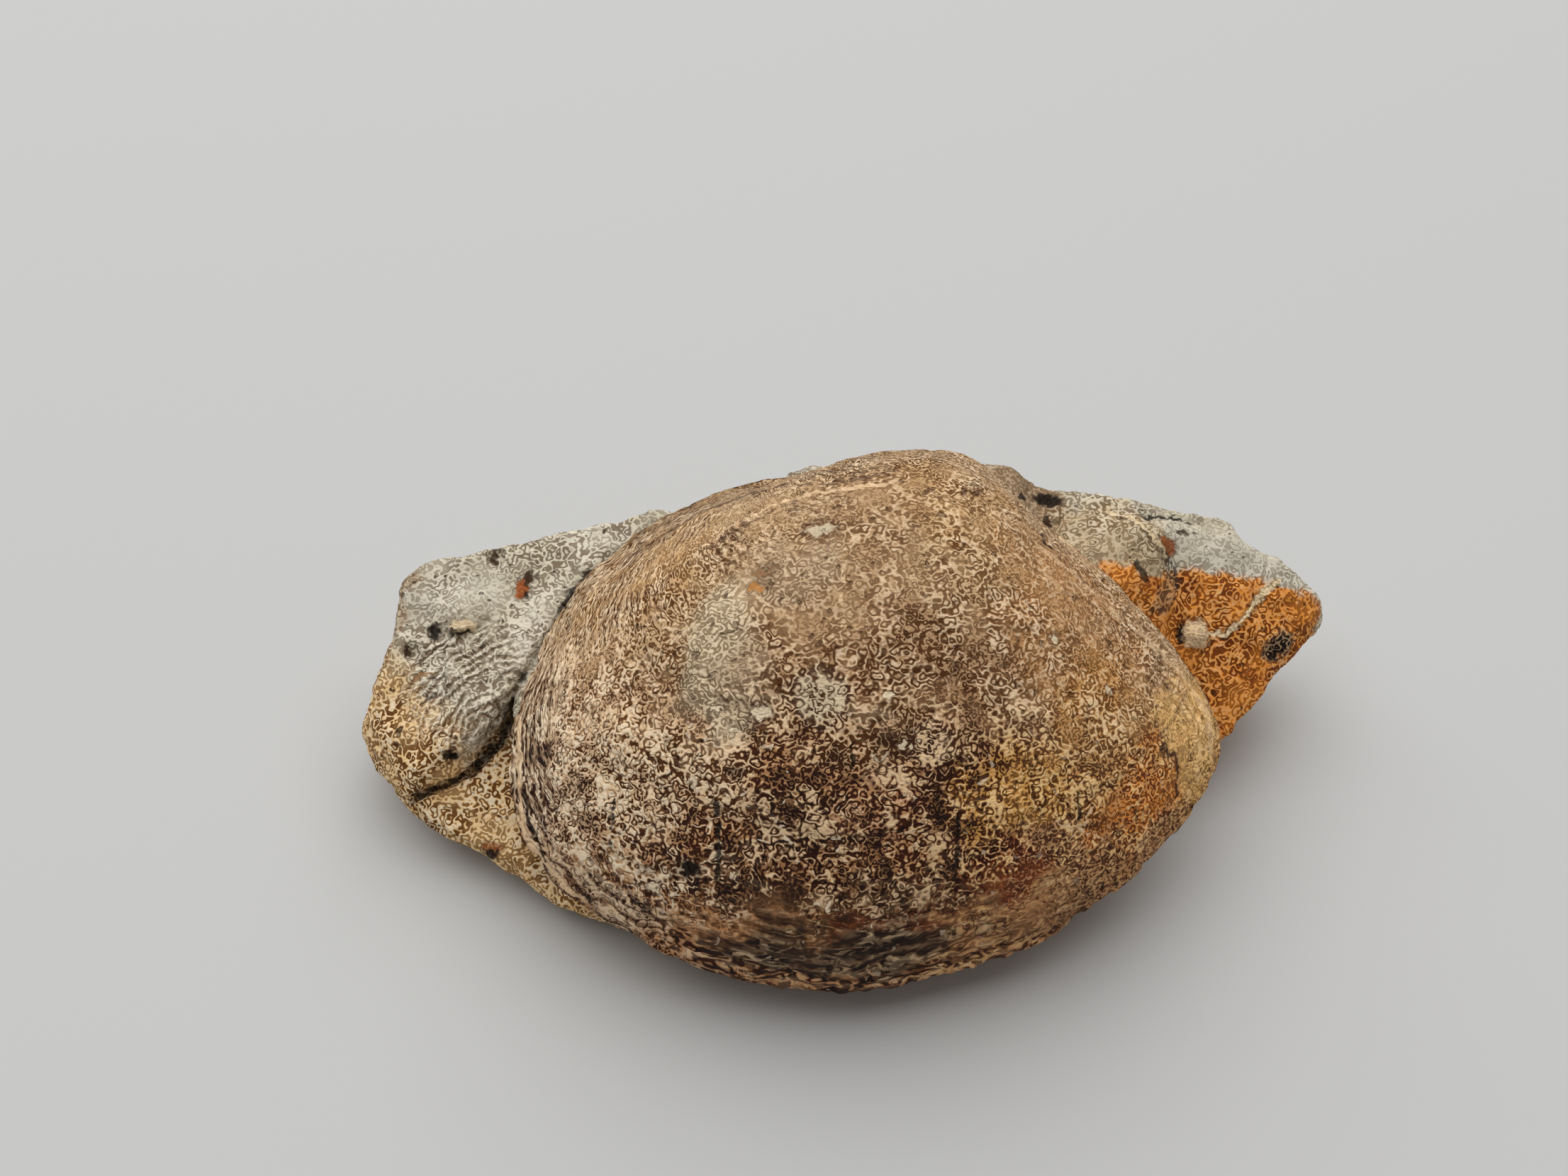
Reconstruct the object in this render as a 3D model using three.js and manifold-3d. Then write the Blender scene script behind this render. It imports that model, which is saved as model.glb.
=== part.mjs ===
// A fossil clam lying in a broken piece of its rock. Millimetres, +Z up.
// The origin is on the flat spot that the rock rests on, and +X runs along the shell from its
// tail to its beak end. Two solids: the closed shell, and the rock that holds it.
import * as THREE from "three";
import { mergeVertices } from "three/addons/utils/BufferGeometryUtils.js";
import Module from "manifold-3d";

const radians = THREE.MathUtils.degToRad;

// The seam plane, where the two valves meet, leans down towards the front.
const seamTilt = radians(22);
const seamTurn = radians(6);
const beak = new THREE.Vector3(15, 31.4, 29);

// The seam's outline: millimetres along the hinge, then from the hinge towards the belly.
const seamOutline = [
  [6, 1], [15.5, 14], [27, 22], [30.6, 32], [21.3, 46.5], [5.9, 57.7], [-15, 63.1],
  [-38, 57.2], [-49, 45], [-49, 27.5], [-41, 12.3], [-26.5, 2.5], [-12, 0.5],
];

// Each valve grows as a coil: the outline shrinks towards the beak while it turns up about the hinge.
const coil = { turn: 1.92, power: 0.81, edgeRound: 0.3, lowerDepth: 0.5 };
const calmSide = { amount: 0.68, middle: 20, spread: 45 }; // the beak end coils less; degrees
const smallest = 0.015; // size of the first growth line, as a share of the seam
const crowding = 1.5; // above 1, the rings of points crowd towards the seam
const shellHeart = [-10, 30]; // the seam's middle, from the beak: relief rises straight away from it

// Growth steps on the valves: where each one stops, as a share of full size, and how tall it is.
const growthSteps = [[0.44, 0.25], [0.6, 0.35], [0.73, 0.3], [0.84, 0.45], [0.92, 0.4], [0.965, 0.35]];
const stepRun = 0.05;
const reliefReach = 20; // the steps fade out within this distance of the hinge

const shellRows = { upper: 31, lower: 6 };
const shellColumns = 44;

// The rock's lumps. Each face is [turn about +Z, lift above level, millimetres from the lump's middle].
const lumps = {
  leftSlab: {
    middle: [-42, 13, 16.5], sharpness: 12,
    faces: [
      [-102, 70, 4.4], [-132, 50, 7.3], // weathered top, and the slope at its front
      [165, 9, 13.6], [-171, 3, 17.5], [-141, 6, 15.1], [134, 6, 17], // broken end
      [102, 12, 14.2], // back
      [-74, 6, 10], [-34, -6, 4.7], // ledge over the foot
      [10, -74, 5.7], [62, 5, 22], [0, 5, 23],
    ],
  },
  slabTail: { // carries the slab on until the shell covers it
    middle: [-27, 21, 20], sharpness: 12,
    faces: [
      [-102, 70, 4.5], [102, 12, 8.1], [20, 4, 9], [0, -90, 8],
      [-160, 0, 9], [-60, -10, 7], [60, -50, 9],
    ],
  },
  leftFoot: {
    middle: [-34, 2, 8], sharpness: 12,
    faces: [
      [-105, 64, 4.1], [-125, 3, 12.8], [-155, 0, 18.5], [-115, 0, 12.6],
      [122, 4, 14.5], [122, -30, 12], [-134, -69, 8.3], [0, -90, 5.3],
      [20, -35, 13], [60, 0, 16], [0, 0, 18],
    ],
  },
  rightLump: {
    middle: [36, 18, 16], sharpness: 12,
    faces: [
      [-40, 76, 9.8], [-74, 45, 3.6], // weathered top, and the fresh face below it
      [-40, 25, 16.1], [-39, -6, 15], [16, 6, 24.8], // outer end
      [65, 9, 14.9], [88, 3, 12.5], // back
      [-8, -65, 12.4], [0, -90, 12.5], [-85, 9, 10.3],
      [-160, -38, 15], [140, -30, 17], [180, 0, 24],
    ],
  },
  hump: {
    middle: [30.5, 21.5, 23.5], sharpness: 4,
    faces: [
      [-90, 78, 5.9], [90, 14, 6.2], [8, 5, 8.5], [-72, 28, 5.5], [180, 0, 9], [0, -90, 6],
    ],
  },
  backLayer: {
    middle: [34, 27.5, 24], sharpness: 14,
    faces: [
      [-65, 74, 2.7], [86, 6, 2.9], [29, 5, 11.4], [180, 0, 20], [-84, 0, 3], [0, -90, 4],
    ],
  },
  beakMud: { // behind the beak, down to the back
    middle: [17.5, 28.5, 24], sharpness: 5,
    faces: [
      [-70, 78, 8.4], [85, 10, 5.6], [12, 22, 6.8], [170, 12, 9],
      [-90, 0, 7], [0, -90, 9], [60, -40, 8],
    ],
  },
  back: {
    middle: [-4, 17, 12], sharpness: 10,
    faces: [
      [-95, 77, 10], // top
      [97, 12, 13], [68, 3, 14], [132, 8, 25], [40, -2, 25], // broken back
      [172, -22, 29], [-10, -20, 30], [0, -90, 8.4], [88, -44, 12.5], [140, -40, 17], [-90, -10, 14],
    ],
  },
  base: {
    middle: [0, 9, 10], sharpness: 10,
    faces: [
      [0, -90, 10.8], [-90, 68, 8], // flat spot, and the side under the shell
      [172, -36, 16.5], [-12, -34, 19], [-97, -26, 18], [88, -22, 19],
      [133, -14, 21], [48, -12, 23], [-138, -22, 18.5], [-47, -24, 20], [180, 12, 28], [0, 12, 28],
    ],
  },
};
const lumpSides = 30;
const lumpRings = 19;
const knobSides = 10;
const knobRings = 7;

// Round hollows and knobs in the rock: [x, y, z, half sizes along x, y, z].
const hollows = [
  [-48.6, 14.6, 21.4, 1.1, 1.3, 1.2], // pits in the slab's top
  [-51.7, 12.6, 20.1, 0.8, 1.1, 0.9],
  [-42, 23.6, 24.8, 0.8, 1.5, 1.3],
  [-45.8, 1.1, 14.4, 1.3, 1, 0.9], // pit under the ledge's lip
  [51.6, 16.4, 15.4, 1.7, 1.3, 1.5], // pit in the fresh face
  [24.2, 27.8, 30.4, 1.9, 0.9, 1.4], // hole beside the beak
  [4, 30, 15, 3.2, 2.2, 2.4], // hollows in the back
  [-24, 27.5, 15, 2.6, 1.8, 2],
  [30, 31.5, 15, 2.4, 1.8, 2.2],
];
const knobs = [
  [-45.6, 14.9, 21.5, 1.7, 0.9, 0.7], // cream knob beside the pit
  [41.7, 16.9, 18.1, 1.6, 1.5, 1.6], // nodule in the fresh face
  [-31, 26, 17, 6, 3.5, 4.5], // bulges on the back
  [16, 27, 9, 7, 3.5, 4],
];

const rockWander = 0.5; // how far the rock's faces and the shell wander from their true form
const shellWander = 0.2;
const socketGap = 0.45; // between the shell and the rock around it
const joinTolerance = 0.25; // faces of the joined rock this near to level are made one
const sameCorner = 1e-4; // corners this near to each other are one

const wasm = await Module();
wasm.setup();

// A point on a smooth closed curve through the points; along runs from 0 to 1.
function closedCurve(points, along) {
  const count = points.length;
  const place = along * count;
  const first = Math.floor(place);
  const f = place - first;
  const [p0, p1, p2, p3] = [-1, 0, 1, 2].map((step) => points[(first + step + count) % count]);
  return [0, 1].map((axis) => 0.5 * (2 * p1[axis] + (p2[axis] - p0[axis]) * f
    + (2 * p0[axis] - 5 * p1[axis] + 4 * p2[axis] - p3[axis]) * f ** 2
    + (3 * p1[axis] - p0[axis] - 3 * p2[axis] + p3[axis]) * f ** 3));
}

// The height of the growth steps: each rises slowly to its line and drops at once after it.
function growthRelief(size) {
  return growthSteps.reduce((sum, [line, height]) => (
    size > line ? sum : sum + height * Math.exp((size - line) / stepRun)), 0);
}

// A slow wander of the surface, from -1 to 1.
function wander(point) {
  return 0.5 * Math.sin(point.x / 3.3 + 1.3 * Math.sin(point.y / 5.1))
    + 0.5 * Math.sin(point.y / 2.9 + 1.7 * Math.sin(point.z / 4.3) + point.x / 9.7);
}

// A closed geometry from rings of points, with one more point closing each end.
function closeRings(rings) {
  const count = rings[0].length;
  const ends = [rings[0], rings[rings.length - 1]].map((ring) => (
    ring.reduce((sum, point) => sum.add(point), new THREE.Vector3()).divideScalar(count)));
  const points = [...rings.flat(), ...ends];
  const faces = [];
  for (let row = 0; row < rings.length - 1; row += 1) {
    for (let column = 0; column < count; column += 1) {
      const next = (column + 1) % count;
      const [a, b] = [row * count + column, row * count + next];
      const [c, d] = [a + count, b + count];
      faces.push(a, b, d, a, d, c);
    }
  }
  const last = (rings.length - 1) * count;
  for (let column = 0; column < count; column += 1) {
    const next = (column + 1) % count;
    faces.push(next, column, points.length - 2);
    faces.push(last + column, last + next, points.length - 1);
  }
  const geometry = new THREE.BufferGeometry();
  const places = points.flatMap((point) => point.toArray());
  geometry.setAttribute("position", new THREE.Float32BufferAttribute(places, 3));
  geometry.setIndex(faces);
  geometry.computeVertexNormals();
  return geometry;
}

// The closed shell: the upper valve's growth lines from the beak to the seam, then the lower valve's.
function shellGeometry() {
  const down = new THREE.Vector3(0, -Math.cos(seamTilt), -Math.sin(seamTilt));
  const outward = new THREE.Vector3(0, -Math.sin(seamTilt), Math.cos(seamTilt));
  const hinge = new THREE.Vector3(Math.cos(seamTurn), 0, 0).addScaledVector(down, Math.sin(seamTurn));
  const belly = new THREE.Vector3(-Math.sin(seamTurn), 0, 0).addScaledVector(down, Math.cos(seamTurn));
  const heart = beak.clone().addScaledVector(hinge, shellHeart[0]).addScaledVector(belly, shellHeart[1]);

  const ring = (depth, side) => {
    const size = 1 - (1 - smallest) * depth ** crowding;
    return Array.from({ length: shellColumns }, (_, column) => {
      const [along, across] = closedCurve(seamOutline, column / shellColumns);
      const bearing = THREE.MathUtils.radToDeg(Math.atan2(across, along));
      const calm = 1 - calmSide.amount * Math.exp(-(((bearing - calmSide.middle) / calmSide.spread) ** 2));
      const edge = coil.edgeRound * Math.sqrt(1 - size) * size;
      const angle = coil.turn * (1 - size ** coil.power) * calm + edge;
      const point = beak.clone()
        .addScaledVector(hinge, size * along)
        .addScaledVector(belly, size * across * Math.cos(angle))
        .addScaledVector(outward, size * across * Math.sin(angle) * side);
      const nearHinge = Math.min(1, across * size / reliefReach);
      const relief = growthRelief(size) * nearHinge + shellWander * wander(point) * size;
      return point.addScaledVector(point.clone().sub(heart).normalize(), relief);
    });
  };

  const upper = Array.from({ length: shellRows.upper }, (_, row) => ring(1 - row / shellRows.upper, 1));
  const lower = Array.from({ length: shellRows.lower + 1 }, (_, row) => (
    ring(row / shellRows.lower, -coil.lowerDepth)));
  return closeRings([...upper, ...lower]);
}

// One broken lump: the distance to its surface is the smooth least of the distances to its faces.
function lumpGeometry({ middle, sharpness, faces }) {
  const centre = new THREE.Vector3(...middle);
  const planes = faces.map(([turn, lift, reach]) => ({
    reach,
    normal: new THREE.Vector3(
      Math.cos(radians(turn)) * Math.cos(radians(lift)),
      Math.sin(radians(turn)) * Math.cos(radians(lift)),
      Math.sin(radians(lift)),
    ),
  }));
  const surface = (direction) => {
    const sum = planes.reduce((total, { reach, normal }) => (
      total + (Math.max(0, direction.dot(normal)) / reach) ** sharpness), 0);
    const distance = sum ** (-1 / sharpness);
    const point = centre.clone().addScaledVector(direction, distance);
    return point.addScaledVector(direction, rockWander * wander(point));
  };
  const rings = Array.from({ length: lumpRings - 1 }, (_, ring) => {
    const fromPole = Math.PI * (ring + 1) / lumpRings;
    return Array.from({ length: lumpSides }, (_, side) => {
      const around = 2 * Math.PI * side / lumpSides;
      return surface(new THREE.Vector3(
        Math.cos(fromPole),
        Math.sin(fromPole) * Math.cos(around),
        Math.sin(fromPole) * Math.sin(around),
      ));
    });
  });
  return closeRings(rings.reverse());
}

function ellipsoidGeometry([x, y, z, alongX, alongY, alongZ]) {
  return new THREE.SphereGeometry(1, knobSides, knobRings).scale(alongX, alongY, alongZ).translate(x, y, z);
}

// A solid for joining and cutting, from a closed geometry.
function solidOf(geometry) {
  const bare = geometry.clone();
  ["normal", "uv"].forEach((name) => bare.deleteAttribute(name));
  const merged = mergeVertices(bare, sameCorner);
  return new wasm.Manifold(new wasm.Mesh({
    numProp: 3,
    vertProperties: merged.attributes.position.array,
    triVerts: new Uint32Array(merged.index.array),
  }));
}

function geometryOf(solid) {
  const { vertProperties, triVerts } = solid.getMesh();
  const geometry = new THREE.BufferGeometry();
  geometry.setAttribute("position", new THREE.Float32BufferAttribute(vertProperties, 3));
  geometry.setIndex([...triVerts]);
  geometry.computeVertexNormals();
  return geometry;
}

// The same surface moved outwards along its normals.
function swollen(geometry, distance) {
  const grown = geometry.clone();
  const { position, normal } = grown.attributes;
  for (let index = 0; index < position.count; index += 1) {
    const point = new THREE.Vector3().fromBufferAttribute(position, index);
    point.addScaledVector(new THREE.Vector3().fromBufferAttribute(normal, index), distance);
    position.setXYZ(index, ...point.toArray());
  }
  return grown;
}

// The largest of a solid's separate bodies: small chips that a cut leaves loose are dropped.
function mainBody(solid) {
  return solid.decompose().sort((one, other) => other.volume() - one.volume())[0];
}

// The rock: its lumps and knobs joined, its pits and the shell's socket cut, and its base cut level.
function rockGeometry(shell) {
  const joined = [...Object.values(lumps).map(lumpGeometry), ...knobs.map(ellipsoidGeometry)]
    .map(solidOf).reduce((whole, piece) => whole.add(piece));
  const floorSize = 200;
  const floor = new THREE.BoxGeometry(floorSize, floorSize, floorSize).translate(0, 0, -floorSize / 2);
  const cut = [...hollows.map(ellipsoidGeometry), swollen(shell, socketGap), floor]
    .map(solidOf).reduce((whole, piece) => whole.subtract(piece), joined);
  return geometryOf(mainBody(cut.simplify(joinTolerance)));
}

const shell = shellGeometry();
const shellMesh = new THREE.Mesh(shell, new THREE.MeshStandardMaterial({
  color: 0x9a8263, roughness: 0.6, metalness: 0,
}));
shellMesh.name = "clam_shell";

const rockMesh = new THREE.Mesh(rockGeometry(shell), new THREE.MeshStandardMaterial({
  color: 0xa09a86, roughness: 0.85, metalness: 0,
}));
rockMesh.name = "rock_matrix";

const group = new THREE.Group();
group.add(shellMesh, rockMesh);

export default group;
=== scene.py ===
# A fossil clam, both valves closed, lying in a broken piece of its rock.
# Shapes are worked out in millimetres and put into Blender in metres.
from functools import reduce

import bmesh
import bpy
import numpy as np
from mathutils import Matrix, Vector


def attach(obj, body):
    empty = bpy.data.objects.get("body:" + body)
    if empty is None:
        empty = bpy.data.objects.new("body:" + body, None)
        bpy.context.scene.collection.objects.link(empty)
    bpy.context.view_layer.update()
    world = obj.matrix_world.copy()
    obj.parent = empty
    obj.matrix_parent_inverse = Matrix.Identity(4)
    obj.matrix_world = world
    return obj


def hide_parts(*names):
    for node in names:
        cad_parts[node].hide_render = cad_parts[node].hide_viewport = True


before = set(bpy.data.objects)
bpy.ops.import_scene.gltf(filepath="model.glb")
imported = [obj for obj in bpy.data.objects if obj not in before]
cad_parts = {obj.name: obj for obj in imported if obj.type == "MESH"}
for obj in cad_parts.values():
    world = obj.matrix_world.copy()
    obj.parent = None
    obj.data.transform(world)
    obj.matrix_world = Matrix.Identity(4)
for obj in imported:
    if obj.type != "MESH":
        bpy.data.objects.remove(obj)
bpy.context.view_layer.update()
mm = 0.001


# Surfaces on grids

def cornerKey(corner):
    # A scattered whole number for each corner of a lattice.
    key = (corner[..., 0] * 73856093) ^ (corner[..., 1] * 19349663) ^ (corner[..., 2] * 83492791)
    key = ((key ^ (key >> 13)) * 1274126177) & 0xFFFFFFFF
    return (key ^ (key >> 15)) & 0xFFFFFF


def scattered(key):
    # Three numbers from -1 to 1 out of each key.
    return np.stack([(key >> shift & 255) / 127.5 - 1 for shift in (0, 8, 16)], -1)


def latticeNoise(points, grain, seed=0):
    # Random slopes at the corners of cubes of the grain's size, blended smoothly across each cube.
    place = points / grain + 31.7 * seed
    cell = np.floor(place).astype(np.int64)
    f = place - cell
    fade = f**3 * (f * (6 * f - 15) + 10)
    total = np.zeros(points.shape[:-1])
    for corner in np.ndindex(2, 2, 2):
        slope = scattered(cornerKey(cell + corner))
        share = np.prod(np.where(corner, fade, 1 - fade), -1)
        total += share * (slope * (f - corner)).sum(-1)
    return total


def cloudNoise(points, grain, octaves, seed=0):
    # Lattice noise at halving grains and halving heights, added up.
    return sum(latticeNoise(points, grain / 2**k, seed + k) / 2**k for k in range(octaves))


def chips(points, grain, seed=0):
    # Shallow scoops with sharp ridges between, from about -1 to 0: minus the highest of tilted
    # domes about scattered middles, one to a cube of the grain's size.
    place = points / grain + 17.3 * seed
    cell = np.floor(place).astype(np.int64)
    highest = np.full(points.shape[:-1], -9.0)
    for corner in np.ndindex(3, 3, 3):
        cube = cell + corner - np.array([1, 1, 1])
        slope = scattered(cornerKey(cube))
        off = place - cube - 0.5 - 0.4 * scattered(cornerKey(cube + 50))
        height = 0.25 * slope[..., 2] + (0.5 * slope * off).sum(-1) - 0.35 * (off**2).sum(-1)
        highest = np.maximum(highest, height)
    return -highest


def lineDistance(points, places):
    # The distance from each point to the nearest place on a line through the places.
    least = np.full(points.shape[:-1], 99.0)
    for start, end in zip(places, places[1:]):
        run = np.subtract(end, start)
        off = points - np.array(start)
        share = np.clip(off @ run / (run @ run), 0, 1)
        least = np.minimum(least, np.linalg.norm(off - share[..., None] * run, axis=-1))
    return least


def smoothStep(value, low, high):
    # 0 below low, 1 above high, and a smooth S between.
    t = np.clip((value - low) / (high - low), 0, 1)
    return t * t * (3 - 2 * t)


def closedCurve(points, along):
    # A smooth closed curve through the points: each stretch is the cubic of its four nearest points.
    points = np.asarray(points, float)
    place = along * len(points)
    first = np.floor(place).astype(int)
    f = (place - first)[..., None]
    p0, p1, p2, p3 = (points[(first + step) % len(points)] for step in (-1, 0, 1, 2))
    return 0.5 * (2 * p1 + (p2 - p0) * f + (2 * p0 - 5 * p1 + 4 * p2 - p3) * f**2
                  + (3 * p1 - p0 - 3 * p2 + p3) * f**3)


def wander(points):
    # A slow wander of a surface, from -1 to 1: sines along X and Y bent by each other.
    x, y, z = np.moveaxis(points, -1, 0)
    return (0.5 * np.sin(x / 3.3 + 1.3 * np.sin(y / 5.1))
            + 0.5 * np.sin(y / 2.9 + 1.7 * np.sin(z / 4.3) + x / 9.7))


def ringFaces(rows, columns):
    # Quads between neighbouring rings, and a triangle fan to one more point at each end.
    i, j = np.meshgrid(np.arange(rows - 1), np.arange(columns), indexing="ij")
    k = (j + 1) % columns
    quads = np.stack([i * columns + j, i * columns + k, (i + 1) * columns + k, (i + 1) * columns + j], -1)
    j, k = j[0], k[0]
    last = (rows - 1) * columns
    firstFan = np.stack([k, j, np.full(columns, rows * columns)], -1)
    lastFan = np.stack([last + j, last + k, np.full(columns, rows * columns + 1)], -1)
    return quads.reshape(-1, 4), np.concatenate([firstFan, lastFan])


def gridNormals(points):
    # Cross product of the steps along the two grid directions; the columns join up.
    alongRows = np.gradient(points, axis=0)
    around = np.roll(points, -1, 1) - np.roll(points, 1, 1)
    normals = np.cross(around, alongRows)
    return normals / (np.linalg.norm(normals, axis=-1, keepdims=True) + 1e-12)


def closedMesh(name, points):
    # The mesh of a grid of rings, closed at both ends.
    quads, fans = ringFaces(*points.shape[:2])
    ends = np.stack([points[0].mean(0), points[-1].mean(0)])
    corners = np.concatenate([points.reshape(-1, 3), ends]) * mm
    loops = np.concatenate([quads.ravel(), fans.ravel()]).astype(np.int32)
    sides = np.concatenate([np.full(len(quads), 4), np.full(len(fans), 3)])
    mesh = bpy.data.meshes.new(name)
    mesh.vertices.add(len(corners))
    mesh.vertices.foreach_set("co", corners.ravel())
    mesh.loops.add(len(loops))
    mesh.loops.foreach_set("vertex_index", loops)
    mesh.polygons.add(len(sides))
    mesh.polygons.foreach_set("loop_start", np.concatenate([[0], np.cumsum(sides)[:-1]]).astype(np.int32))
    mesh.update(calc_edges=True)
    mesh.validate()
    mesh.shade_smooth()
    return mesh, loops


def putInScene(name, mesh):
    made = bpy.data.objects.new(name, mesh)
    bpy.context.scene.collection.objects.link(made)
    return made


# The shell

shell = {
    "seamTilt": 22, "seamTurn": 6,  # degrees that the plane between the valves leans and turns
    "beak": (15, 31.4, 29),
    # the seam as seen square to its plane: along the hinge and away from it, from the beak
    "outline": [(6, 1), (15.5, 14), (27, 22), (30.6, 32), (21.3, 46.5), (5.9, 57.7), (-15, 63.1),
                (-38, 57.2), (-49, 45), (-49, 27.5), (-41, 12.3), (-26.5, 2.5), (-12, 0.5)],
    "coilTurn": 1.92, "coilPower": 0.81, "edgeRound": 0.3, "lowerDepth": 0.5,
    "calm": 0.68, "calmMiddle": 20, "calmSpread": 45,  # the beak end coils less; degrees
    "smallest": 0.015, "crowding": 1.5, "heart": (-10, 30),
    # growth steps: the size at each and its height
    "steps": [(0.44, 0.12), (0.6, 0.2), (0.73, 0.15), (0.84, 0.25), (0.92, 0.25), (0.965, 0.2)],
    "stepRun": 0.05, "stepDrift": 0.016, "reliefReach": 20, "wander": 0.2,
    "columns": 410, "upperRows": 178, "lowerRows": 46,
    "lineHeight": 0.05, "lineCount": 66,  # fine growth lines
    "lumpHeight": 0.24, "lumpSize": 6, "grainHeight": 0.1, "grainSize": 1.5,
    "flakeDepth": 0.2, "flakeSize": 5.5, "chipDepth": 0.35, "chipSize": 3.5,
    "crackDepth": 0.3, "crackSpread": 2.5, "pitDepth": 0.6,
    # cracks: half width, then the places that each runs through
    "cracks": [
        (0.22, [(-14.6, -16.6, 28.9), (-14.5, -19.2, 25.3), (-14.7, -21.4, 21.4)]),
        (0.18, [(10.8, -17.9, 28.6), (10.8, -19.7, 24.8), (10.8, -22, 20.1)]),
        (0.18, [(24.2, -12.6, 25.7), (24.4, -14.1, 23.5), (24.3, -15.2, 22.3), (23.1, -17.2, 20.1)]),
        (0.14, [(-0.4, -13.8, 35.6), (-0.4, -15.8, 33.7)]),
        (0.13, [(-25.7, -13.1, 25.8), (-26.4, -16.7, 20)]),
        (0.25, [(-36.8, -6.2, 17.9), (-36.2, -9.1, 15.7), (-34.3, -12.7, 13.4)]),
    ],
    # pits: middle and radius
    "pits": [(-17.9, -20.1, 21.8, 0.6), (-29.5, -13.3, 17.6, 0.5), (12.5, 7.1, 43.5, 0.5)],
}


def growthRelief(size):
    # Each step rises as an exponential up to its line and drops at once after it.
    return sum(np.where(size > line, 0, height * np.exp(np.minimum(0, size - line) / shell["stepRun"]))
               for line, height in shell["steps"])


def shellGrid(columns, upperRows, lowerRows):
    # Size shrinks the seam's outline towards the beak while an angle that grows as size falls
    # turns it up about the hinge; the lower valve is the same curve, turned down and flatter.
    tilt, turn = np.radians(shell["seamTilt"]), np.radians(shell["seamTurn"])
    down = np.array([0, -np.cos(tilt), -np.sin(tilt)])
    outward = np.array([0, -np.sin(tilt), np.cos(tilt)])
    hinge = np.array([np.cos(turn), 0, 0]) + np.sin(turn) * down
    belly = np.array([-np.sin(turn), 0, 0]) + np.cos(turn) * down
    beak = np.array(shell["beak"], float)
    heart = beak + shell["heart"][0] * hinge + shell["heart"][1] * belly
    depth = np.concatenate([1 - np.arange(upperRows) / upperRows, np.arange(lowerRows + 1) / lowerRows])
    side = np.where(np.arange(len(depth)) < upperRows, 1.0, -shell["lowerDepth"])[:, None]
    size = (1 - (1 - shell["smallest"]) * depth**shell["crowding"])[:, None] + np.zeros((1, columns))
    around = (np.arange(columns) / columns)[None, :] + np.zeros((len(depth), 1))
    margin = closedCurve(shell["outline"], around)
    along, across = margin[..., 0], margin[..., 1]
    bearing = np.degrees(np.arctan2(across, along))
    calm = 1 - shell["calm"] * np.exp(-(((bearing - shell["calmMiddle"]) / shell["calmSpread"]) ** 2))
    edge = shell["edgeRound"] * np.sqrt(1 - size) * size
    angle = shell["coilTurn"] * (1 - size**shell["coilPower"]) * calm + edge
    points = (beak + (size * along)[..., None] * hinge
              + (size * across * np.cos(angle))[..., None] * belly
              + (size * across * np.sin(angle) * side)[..., None] * outward)
    nearHinge = np.minimum(1, across * size / shell["reliefReach"])
    away = points - heart
    away /= np.linalg.norm(away, axis=-1, keepdims=True)
    drifting = size + shell["stepDrift"] * cloudNoise(points, 9, 3, 41)
    relief = growthRelief(drifting) * nearHinge + shell["wander"] * wander(points) * size
    return points + relief[..., None] * away, size, around, nearHinge


def makeShell():
    points, size, around, nearHinge = shellGrid(shell["columns"], shell["upperRows"], shell["lowerRows"])
    normals = gridNormals(points)
    # fine growth lines: sines of size that drift round the valve, stronger where growth slowed
    drift = 0.05 * cloudNoise(points, 22, 2, 3) + 0.012 * cloudNoise(points, 4, 2, 5)
    crowded = size + 0.35 * size**4
    lines = np.sin(2 * np.pi * shell["lineCount"] * (crowded + drift * 0.3))
    clear = smoothStep(cloudNoise(points, 7, 2, 8), -0.5, 0.5)
    lines *= (0.45 + smoothStep(size, 0.85, 1)) * clear * 1.5
    lumps = cloudNoise(points, shell["lumpSize"], 4, 11)
    # flakes: where the outer layer has come away, mostly low on the valve
    lowOnValve = smoothStep(size, 0.55, 0.85)
    flakeField = cloudNoise(points, shell["flakeSize"], 3, 17) + 0.16 * lowOnValve
    flakes = smoothStep(flakeField, 0.12, 0.2)
    cracks = sum(1 - smoothStep(lineDistance(points, places), 0, shell["crackSpread"] * wide)
                 for wide, places in shell["cracks"])
    pits = sum(np.exp(-((points - middle) ** 2).sum(-1) / radius**2) for *middle, radius in shell["pits"])
    grain = cloudNoise(points, shell["grainSize"], 2, 31)
    # chips broken out of the seam's edge
    atSeam = smoothStep(size, 0.955, 0.995)
    chipped = atSeam * smoothStep(cloudNoise(points, shell["chipSize"], 3, 37), 0.05, 0.3)
    height = (shell["lineHeight"] * lines * nearHinge + shell["lumpHeight"] * lumps
              + shell["grainHeight"] * grain - shell["flakeDepth"] * flakes - shell["crackDepth"] * cracks
              - shell["chipDepth"] * chipped - shell["pitDepth"] * pits)
    height *= smoothStep(size, 0, 0.15)  # none at the beak's tip
    mesh, loops = closedMesh("clamShell", points + height[..., None] * normals)
    # the growth map: place around the seam, and size
    columns = shell["columns"]
    perCorner = np.stack([np.append(around.ravel(), [0, 0]), np.append(size.ravel(), [0, 0])], -1)[loops]
    inQuads = (len(size) - 1) * columns * 4
    u = perCorner[:inQuads, 0].reshape(-1, 4)
    closing = u.max(1) - u.min(1) > 0.5  # quads that close a ring go on to 1, not back to 0
    u[closing] = np.where(u[closing] < 0.5, 1, u[closing])
    perCorner[:inQuads, 0] = u.ravel()
    growth = mesh.uv_layers.new(name="growth")
    growth.uv.foreach_set("vector", perCorner.ravel())
    return putInScene("fossilShell", mesh)


# The rock

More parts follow.
